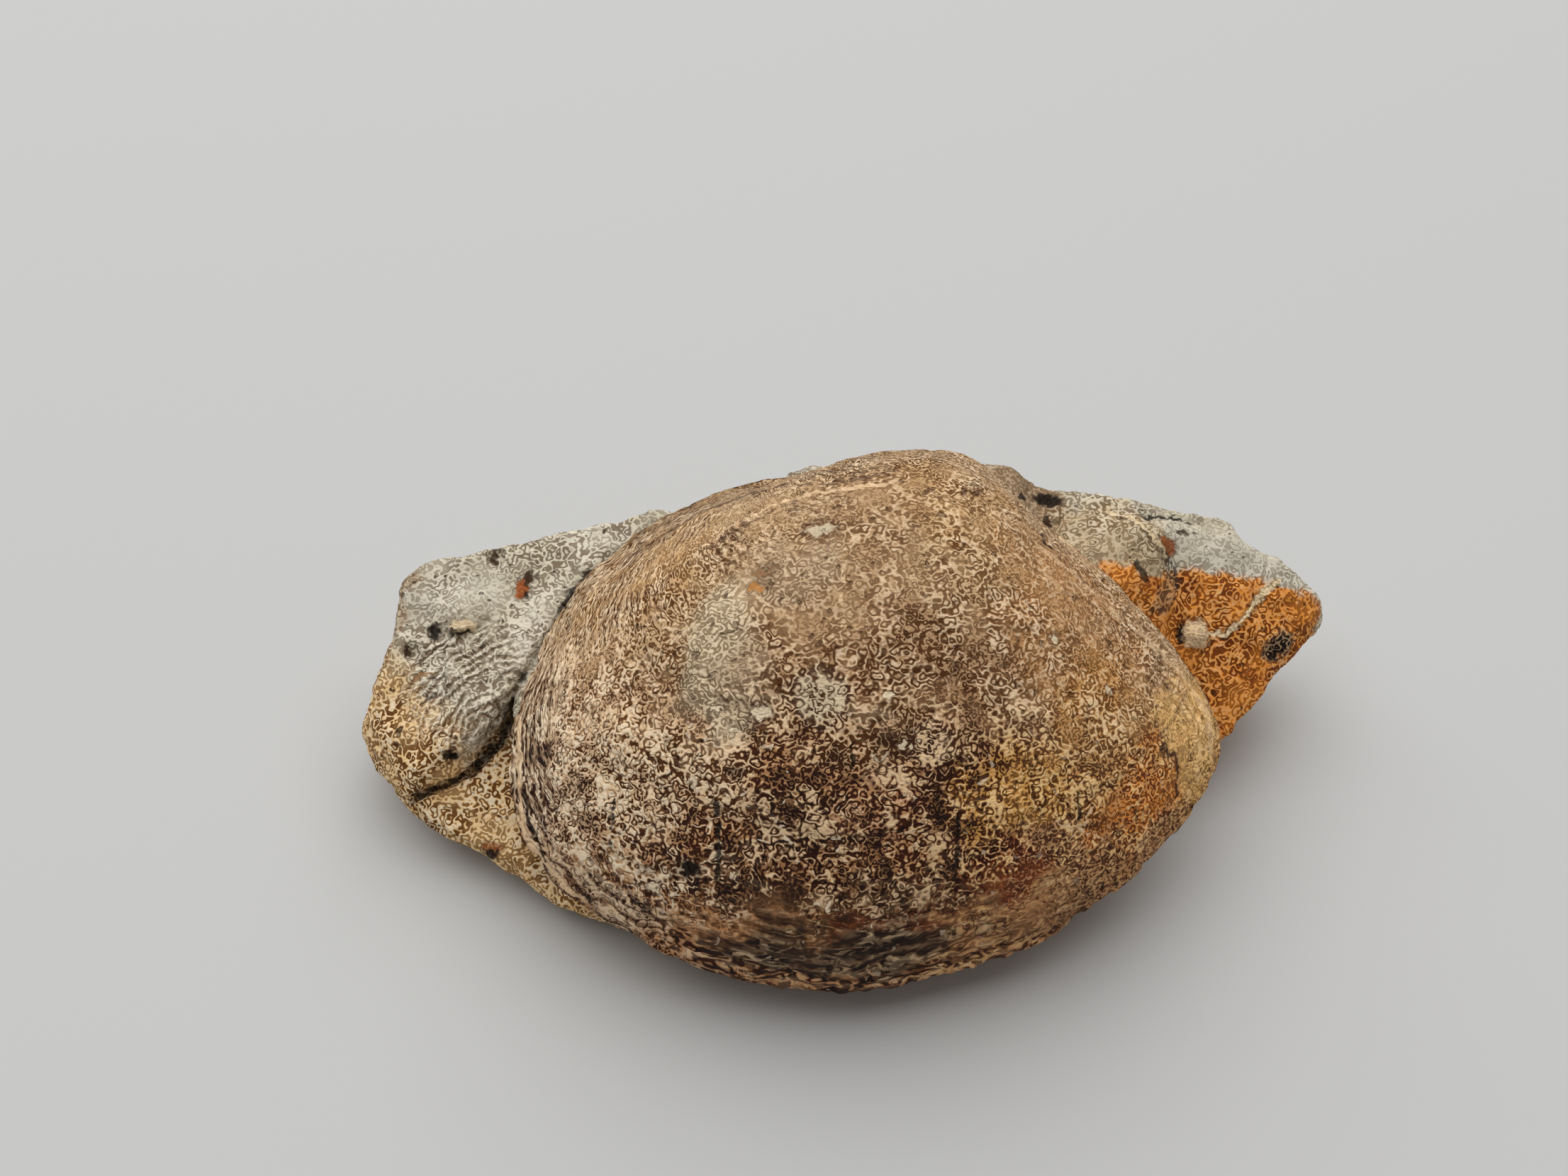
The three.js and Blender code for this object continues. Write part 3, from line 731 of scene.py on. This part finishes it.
def shellMaterial(piece):
    look = shellFinish
    ink = {name: linear(code) for name, code in look["colours"].items()}
    material, place, shader = newFinish("shellFinish")
    growth = place.node("UVMap", {"uv_map": "growth"}, {})
    _, size, _ = axes(growth)
    x, y, height = axes(place)
    near = ragged(place, 0.9, 0.35, 6)
    torn = ragged(near, 1.1, 0.9, 8)
    loose = ragged(ragged(place, 7, 5), 1.6, 1.6, 3)
    clouds = cloud(place, 8, 3, 0.6)
    lowDown = band(height + y + (clouds - 0.5) * 22, 36, 14)  # low on the front
    colour = coat(ink["upper"], ink["lower"], lowDown)

    def paint(name, mask, way="MIX"):
        nonlocal colour
        colour = coat(colour, ink[name], mask, way)

    for name, strength, middle, wide, tall in look["zones"]:
        paint(name, zone(loose, middle, (wide, tall, tall)) * strength)

    def areas(listed):
        # The strongest of the areas at each place; each has its strength first.
        return strongest([zone(loose, middle, (wide, tall, tall), 0.4) * strength
                          for strength, middle, wide, tall in listed])

    # patches a few millimetres across: crusts of pale grain, bare dark places, and smooth ones
    patch = cloud(ragged(place, 3, 1.3, 4), 3.4, 3, 0.6, 0, 21)
    smooth = band(cloud(place, 4, 2, 0.5, 0, 33), 0.5, 0.62) * (0.35 - lowDown * 0.15)
    strength = (1 - smooth) * (1 - areas(look["calm"])) * (1 + lowDown * 0.15)
    rightSide = band(x, 9, 19)
    mottled = lowDown * (1 - rightSide * 0.75)
    paint("dark", band(patch, 0.46, 0.33) * mottled * 0.65)
    paint("cream", band(patch, 0.55, 0.7) * (0.25 + mottled * 0.45))
    outline = band(away(patch, 0.54), 0.016, 0.004) * (0.35 + lowDown * 0.65)  # round the crusts
    # grain: crooked lines, dark where their value is low and pale where it is high; it is finer on
    # the bare places and runs along the growth lines near the margins
    lined = areas([(1, *area) for area in look["lined"]])
    alongGrowth = vectorMath("MULTIPLY", growth, look["growthStretch"])
    curly = crooked(place, *look["curlyGrain"], 5)
    drawn = crooked(alongGrowth, *look["drawnGrain"], 5)
    fine = crooked(place, *look["fineGrain"], 11)
    curly = curly + (fine - curly) * band(patch, 0.48, 0.42)
    grain = curly + (drawn - curly) * (lined * 0.8 + 0.2) + (patch - 0.5) * (1 + mottled * 2.5)
    grain += band(x, -16, -28) * 0.3 + rightSide * 0.12  # more pale than dark at both ends
    dull = 1 - band(height, 19, 14) * 0.6  # the low edge carries paler lines only faintly
    tint = coat(ink["tintUpper"], ink["tintLower"], lowDown)
    pale = coat(ink["paleLeft"], ink["paleMid"], band(x, -22, -6))
    pale = coat(pale, ink["paleRight"], band(x, 4, 16))
    pale = coat(ink["paleUpper"], pale, lowDown)
    pale = coat(pale, ink["paleBare"], band(patch, 0.5, 0.42) * 0.8)
    colour = coat(colour, tint, band(grain, 0.3, -0.5) * strength * (1 - rightSide * 0.2), "MULTIPLY")
    colour = coat(colour, pale, band(grain, 0.35, 1) * strength * (0.8 + lowDown * 0.2) * dull)
    colour = coat(colour, tint, outline * 0.85, "MULTIPLY")
    # growth lines, wandering a little round the valve
    bend = (cloud(place, 14, 2, 0.5, 0, 9) - 0.5) * 0.05
    lineWave = sine((size + bend) * look["lineTurns"] + (patch - 0.5) * 12)
    onLines = band(cloud(place, 7, 2, 0.5, 0, 13), 0.46, 0.6) * (lined * 0.75 + 0.12) * band(y, 25, 18)
    onLines = strongest([onLines, areas(look["margins"]) * 0.9])
    apart, reach, places = look["edgeLines"]
    edge = lineReach(place, places)
    onEdge = band(edge, reach, reach * 0.3) * band(cloud(place, 5, 2, 0.5, 0, 19), 0.4, 0.56)
    edgeWave = sine(edge * (2 * np.pi / apart) + (patch - 0.5) * 14 + (clouds - 0.5) * 9)
    lineWave += (edgeWave - lineWave) * band(onEdge, 0, 0.1)
    onLines = strongest([onLines, onEdge * 0.45])
    paint("lineTint", band(lineWave, 0.2, 0.95) * onLines, "MULTIPLY")
    colour = coat(colour, pale, band(lineWave, -0.3, -1) * onLines * 0.5 * dull)
    # small dark pits, and crumbs of white chalk low down
    pits = band(cloud(place, 1.2, 1, 0.5, 0, 41), 0.33, 0.26) * (1 - lowDown * 0.5)
    crumbs = band(cloud(place, 1.5, 1, 0.5, 0.6, 51), 0.7, 0.74) * mottled * dull
    paint("dark", pits * 0.6)
    paint("paleLeft", crumbs * 0.8)
    for name, middle, radius in look["scars"]:
        inside = zone(torn, middle, (radius, radius, radius), 0.3)
        rim = ring(torn, middle, radius * 1.08, 0.5) * band(curly, 0.7, -0.3)
        paint(name, inside * band(grain, -1, 0.1) * 0.75)
        paint("dark", rim * 0.8)
    for name, amount, middle, half in look["spots"]:
        halo = zone(torn, middle, (half * 1.4, half * 0.9, half))
        mark = zone(torn, middle, (half, half * 0.5, half * 0.6), 0.15)
        paint("dark", halo * 0.5)
        paint(name, mark * amount)
    for name, amount, wide, places in look["lines"]:
        paint(name, track(torn, places, wide) * amount)
    cracks = strongest([track(near, places, wide * 1.3) for wide, places in shell["cracks"]])
    paint("black", cracks * 0.9)
    roughness = 0.7 + (patch - 0.5) * 0.35
    relief = (grain * 0.05 * (0.3 + strength) + cloud(place, 0.35, 2, 0.5, 0, 17) * 0.08
              - band(lineWave, -0.5, 0.9) * onLines * 0.1 - cracks * 0.25 - pits * 0.2 + crumbs * 0.15)
    finish(material, piece, shader, colour, roughness, relief)


rockFinish = {
    "colours": {
        "grey": "#cac0a8", "pale": "#dcd4c0", "tan": "#f6cc8e", "brown": "#9a7248", "orange": "#f49a3c",
        "redBrown": "#b0561a", "hump": "#c4aa80", "cream": "#fae0b4", "black": "#120c08",
        "rust": "#a8561a", "speckle": "#8f8778", "mud": "#98744a", "umber": "#3d2410",
        "tint": "#836542", "paleGrain": "#faeed6", "orangeGrain": "#f8c88c",
    },
    "grain": (1.05, 27),  # size and turns of the crooked grain
    # middle and half sizes
    "humpZone": ((31, 22, 27), (7.5, 7, 5)), "beakZone": ((20, 28, 27), (7, 6, 8)),
    # small marks: colour, strength, middle, half sizes
    "spots": [
        # painted shade: the next three marks darken hollows in the slab
        ("black", 0.9, (-48.8, 15, 21), (0.8, 0.9, 0.9)),
        ("umber", 0.9, (-52, 12.9, 19.8), (0.45, 0.9, 0.8)),
        ("umber", 0.8, (-42.3, 24, 24.2), (0.4, 1, 0.8)),
        ("cream", 0.6, (-45.4, 15.1, 21.9), (1.8, 0.9, 1)),
        # painted shade: black in a hollow low on the slab
        ("black", 0.9, (-46.1, 1.6, 14.2), (1, 0.6, 0.6)),
        ("rust", 0.9, (-38.6, 19, 24), (0.9, 1.4, 1.1)),
        ("umber", 0.9, (-37.9, 20.6, 24.2), (0.5, 1.1, 0.8)),
        ("black", 0.8, (-37.9, 18.4, 23.4), (0.5, 0.5, 0.4)),
        ("umber", 0.8, (-52.3, 4.7, 14.9), (0.5, 0.5, 0.5)),
        ("rust", 0.6, (-41.4, -6.3, 6.9), (1.4, 0.7, 0.7)),
        ("black", 0.85, (-41.7, -6.9, 6.5), (1.2, 0.6, 0.6)),
        # painted shade: black in the hole and the gap beside the shell's beak
        ("black", 0.9, (23.9, 28.1, 29.6), (1.7, 0.8, 1.1)),
        ("black", 0.7, (23.4, 24.8, 29), (0.4, 1, 0.8)),
        ("black", 0.8, (20.6, 27, 31.2), (0.5, 0.4, 0.6)),
        ("black", 0.8, (39.7, 16.4, 18.8), (0.6, 1.2, 0.8)),
        ("cream", 0.75, (41.6, 16.3, 19), (1.6, 1.7, 1.7)),
        ("umber", 0.8, (39.9, 26.1, 25.9), (0.8, 0.4, 0.5)),
        ("rust", 0.8, (38, 23.4, 26.8), (1.2, 1, 1.2)),
    ],
    # drawn lines: colour, strength, half width, then the places they run through
    "lines": [
        ("brown", 0.9, 0.35, [(-52.1, 9.2, 17.8), (-50.3, 9.8, 18.8), (-48.8, 10, 19.3)]),
        ("umber", 0.8, 0.25, [(-49.8, 6.7, 17.5), (-48.3, 7.5, 18.4)]),
        ("umber", 0.7, 0.5, [(31.2, 27, 28), (34.3, 24.3, 29.2), (36.3, 22.3, 28.4), (38, 21.3, 26.3)]),
        ("cream", 0.8, 0.3, [(31.2, 27.3, 28.3), (34.1, 24.6, 29.6), (36, 22.6, 28.8), (37.7, 21.6, 26.7)]),
        ("black", 0.85, 0.35, [(33.8, 19.6, 27.7), (34.9, 18.4, 26.2)]),
        ("umber", 0.7, 0.6, [(44.4, 17, 18), (45.6, 17.2, 17.8), (47.5, 18.8, 18.8), (48.6, 20.1, 19.7),
                             (49.9, 21.4, 20.5)]),
        ("umber", 0.8, 0.3, [(23.4, 24.8, 29), (23.7, 23.4, 28.4), (24.6, 21.5, 28.2)]),
        ("umber", 0.7, 0.2, [(23.8, 24.8, 28.9), (25, 25.1, 29), (25.5, 25.6, 29.3)]),
        # painted shade: black, then umber, along the gap between the slab and the shell at the upper left
        ("black", 0.9, 0.6, [(-34, 15.2, 23.6), (-32.9, 17.8, 24.2), (-31, 20.5, 25)]),
        ("umber", 0.8, 0.4, [(-31, 20.5, 25), (-28.4, 21.8, 26.8), (-25.2, 24, 28)]),
        ("cream", 0.95, 0.33, [(43.1, 16.9, 18.2), (45.6, 17.2, 17.8), (47.5, 18.8, 18.8), (48.6, 20.1, 19.7),
                              (49.9, 21.4, 20.5), (51.9, 22.7, 21.1)]),
    ],
    # where black grain lies on grey: strength, half width, then the places that it runs through
    "speckled": [(0.95, 1.2, [(51.2, 17.1, 14.6), (52.7, 18.3, 15)]),
                 (0.5, 1.1, [(37.9, 22, 25.5), (38.4, 20.5, 23.5), (37.2, 17.3, 22.8)])],
    "ridges": {"middle": (-35.7, -4.5), "spacing": 1.1, "zone": ((-44.5, 8.5, 19), (7.5, 8.5, 6))},
    # brown along the slab's outer edge: half width and places
    "edge": (1.3, [(-52.3, 21.3, 22.5), (-53.6, 19.2, 21.2), (-54.7, 15.3, 19.3), (-55.9, 11.3, 16.1)]),
    # places with little grain: the middle of the slab, and the grey layer behind the lump
    "smooth": [((-43.5, 18, 23), (4, 5, 5)), ((46, 26.5, 24), (9, 4, 5))],
    # marks are measured with this direction, nearly square to the visible faces, made a third as long
    "facing": (0, -0.5, 0.866), "shorter": 0.67,
}


def rockMaterial(piece):
    look = rockFinish
    ink = {name: linear(code) for name, code in look["colours"].items()}
    material, place, shader = newFinish("rockFinish")
    near = ragged(place, 0.9, 0.35, 6)
    loose = ragged(ragged(ragged(place, 6, 2.5), 1.5, 1.2, 3), 0.6, 0.5, 9)
    looseX, looseY, looseZ = axes(loose)
    clouds = cloud(place, 9, 3, 0.6)
    patch = cloud(ragged(place, 3, 1.2, 4), 3, 3, 0.6, 0, 21)
    # weathered grey above, sandy below and on the left slab's outer corner, rust on the broken right face
    leftCorner = band(looseX * 1.17 + looseY, -47, -54)
    sandy = strongest([band(looseZ + (clouds - 0.5) * 10, 15.5, 10.5), leftCorner])
    colour = coat(ink["grey"], ink["pale"], band(clouds, 0.4, 0.65))

    def paint(name, mask, way="MIX"):
        nonlocal colour
        colour = coat(colour, ink[name], mask, way)

    paint("tan", sandy)
    stains = band(cloud(place, 5, 3, 0.6, 0, 4), 0.52, 0.74)
    paint("brown", stains * sandy * 0.6)
    onHump = zone(loose, *look["humpZone"], 0.2)
    paint("hump", onHump * 0.8)
    nearBeak = zone(loose, *look["beakZone"], 0.3)
    paint("mud", nearBeak * 0.8)
    crust = looseY + onHump * 3.2 + band(looseZ, 19, 5) * 4 + (clouds - 0.5) * 6 * band(looseZ, 22, 16)
    rusty = band(looseX, 27, 30) * band(crust, 23.1, 21.9) * band(looseZ, 4, 8)
    paint("orange", rusty)
    deepRust = band(cloud(place, 3.2, 3, 0.6, 0.5, 6), 0.52, 0.68)
    paint("redBrown", rusty * deepRust * 0.7)
    edgeWide, edgePlaces = look["edge"]
    atEdge = track(loose, edgePlaces, edgeWide)
    paint("brown", atEdge * 0.6)
    # grain: crooked lines, dark where their value is low and pale where it is high
    grain = crooked(place, *look["grain"], 5) + (patch - 0.5) * 3
    patchy = band(cloud(place, 5, 2, 0.5, 0, 7), 0.4, 0.62)
    plain = strongest([zone(loose, middle, half, 0.5) for middle, half in look["smooth"]])
    strength = (0.25 + patchy * 0.4 + strongest([sandy, rusty * 0.8]) * 0.35) * (1 - plain * 0.75)
    paleGrain = coat(ink["paleGrain"], ink["orangeGrain"], rusty)
    paint("tint", band(grain, 0.2, -0.6) * strength, "MULTIPLY")
    colour = coat(colour, paleGrain, band(grain, 0.35, 1) * strength * 0.7)
    specks = band(cloud(place, 1, 1, 0.5, 0, 41), 0.31, 0.26)
    paint("umber", specks * 0.7)
    # curved ridges on the left slab
    ridges = look["ridges"]
    fromMiddle = vectorMath("MULTIPLY", vectorMath("SUBTRACT", near, (*ridges["middle"], 0)), (1, 1, 0))
    reach = length(fromMiddle)
    onRidges = zone(loose, *ridges["zone"], 0.3) * band(cloud(place, 2.2, 2, 0.5, 0, 23), 0.34, 0.5)
    ridge = sine((reach + (patch - 0.5) * 1.8 + (clouds - 0.5) * 3) * (2 * np.pi / ridges["spacing"]))
    paint("tint", band(ridge, 0, -0.9) * onRidges * 0.8, "MULTIPLY")
    paint("paleGrain", band(ridge, 0.3, 1) * onRidges * 0.5)
    # marks
    facing = np.array(look["facing"])
    torn = ragged(near, 0.8, 0.6, 8)
    flat = vectorMath("SUBTRACT", torn, stretched(facing, dot(torn, facing * look["shorter"])))

    def pressed(where):
        # A place as it lies in the shortened space.
        return tuple(np.array(where) - look["shorter"] * np.dot(where, facing) * facing)

    def drawn(places, wide):
        return track(flat, [pressed(where) for where in places], wide)

    for dark, wide, places in look["speckled"]:
        area = drawn(places, wide)
        paint("speckle", area * dark * 0.7)
        paint("black", area * band(grain, 0.9, 0.3) * dark)
    # each mark gets an umber rim; round the marks in hollows and gaps that rim is painted shade too
    for name, amount, middle, half in look["spots"]:
        halo = tuple(1.25 * part for part in half)
        paint("umber", zone(flat, pressed(middle), halo, 0.2) * 0.45)
        paint(name, zone(flat, pressed(middle), half, 0.2) * amount)
    for name, amount, wide, places in look["lines"]:
        paint(name, drawn(places, wide) * amount)
    # painted shade in the grooves: black at the bottom, and over more of their width where they are deep
    grooves = strongest([drawn(places, wide * 0.5 + max(deep - 1, 0) * 0.6)
                         for wide, deep, places in rock["grooves"]])
    paint("black", grooves * 0.9)
    paint("tint", band(grain, 0.1, -0.7) * 0.3, "MULTIPLY")
    roughness = 0.82 + (patch - 0.5) * 0.2
    relief = (grain * 0.05 * (0.3 + strength) + cloud(place, 0.3, 2, 0.5, 0, 17) * 0.08
              + ridge * onRidges * 0.15 - specks * 0.2)
    finish(material, piece, shader, colour, roughness, relief)


shellMaterial(shellPiece)
rockMaterial(rockPiece)
print("materials made")


# Camera, floor and light

view = {
    "pitch": 47,  # degrees that the camera looks down
    "lens": 50, "sensor": 36,
    "scale": 0.08,  # millimetres to a pixel of the photograph's frame, at the aim point
    "aim": (0, 0, 22), "aimPixel": (1200, 1020), "framePixels": (2212, 1659),
}


def makeCamera():
    focal = view["lens"] / view["sensor"] * view["framePixels"][0]
    pitch = np.radians(view["pitch"])
    up = np.array([0, np.sin(pitch), np.cos(pitch)])
    ahead = np.array([0, np.cos(pitch), -np.sin(pitch)])
    right = np.array([1.0, 0, 0])
    offX = (view["aimPixel"][0] - view["framePixels"][0] / 2) / focal
    offY = -(view["aimPixel"][1] - view["framePixels"][1] / 2) / focal
    eye = np.array(view["aim"]) - view["scale"] * focal * (ahead + offX * right + offY * up)
    data = bpy.data.cameras.new("camera")
    data.lens, data.sensor_width = view["lens"], view["sensor"]
    data.clip_start, data.clip_end = 0.01, 20
    camera = bpy.data.objects.new("camera", data)
    camera.location = Vector(eye * mm)
    camera.rotation_euler = (np.radians(90) - pitch, 0, 0)
    bpy.context.scene.collection.objects.link(camera)
    bpy.context.scene.camera = camera


studio = {
    "floorSize": 36, "floorColour": (0.58, 0.58, 0.57, 1),
    "sky": 0.25,
    "lamps": [("top", (-0.1, 0.35, 1.0), 1.8, 17)],  # name, place, size, watts
    "lampAim": (0, 0, 0.02),
}


def makeStudio():
    bpy.ops.mesh.primitive_plane_add(size=studio["floorSize"])
    floor = bpy.context.object
    floor.name = "floor"
    paint = bpy.data.materials.new("floorPaint")
    paint.use_nodes = True
    shader = paint.node_tree.nodes["Principled BSDF"]
    shader.inputs["Base Color"].default_value = studio["floorColour"]
    shader.inputs["Roughness"].default_value = 0.9
    floor.data.materials.append(paint)
    for name, place, size, watts in studio["lamps"]:
        data = bpy.data.lights.new(name, "AREA")
        data.size, data.energy = size, watts
        lamp = bpy.data.objects.new(name, data)
        lamp.location = place
        aim = Vector(studio["lampAim"]) - Vector(place)
        lamp.rotation_euler = aim.to_track_quat("-Z", "Y").to_euler()
        bpy.context.scene.collection.objects.link(lamp)
    world = bpy.data.worlds.new("studio")
    bpy.context.scene.world = world
    world.use_nodes = True
    sky = world.node_tree.nodes["Background"].inputs
    sky["Color"].default_value, sky["Strength"].default_value = (1, 1, 1, 1), studio["sky"]
    bpy.context.scene.view_settings.view_transform = "Standard"


makeCamera()
makeStudio()
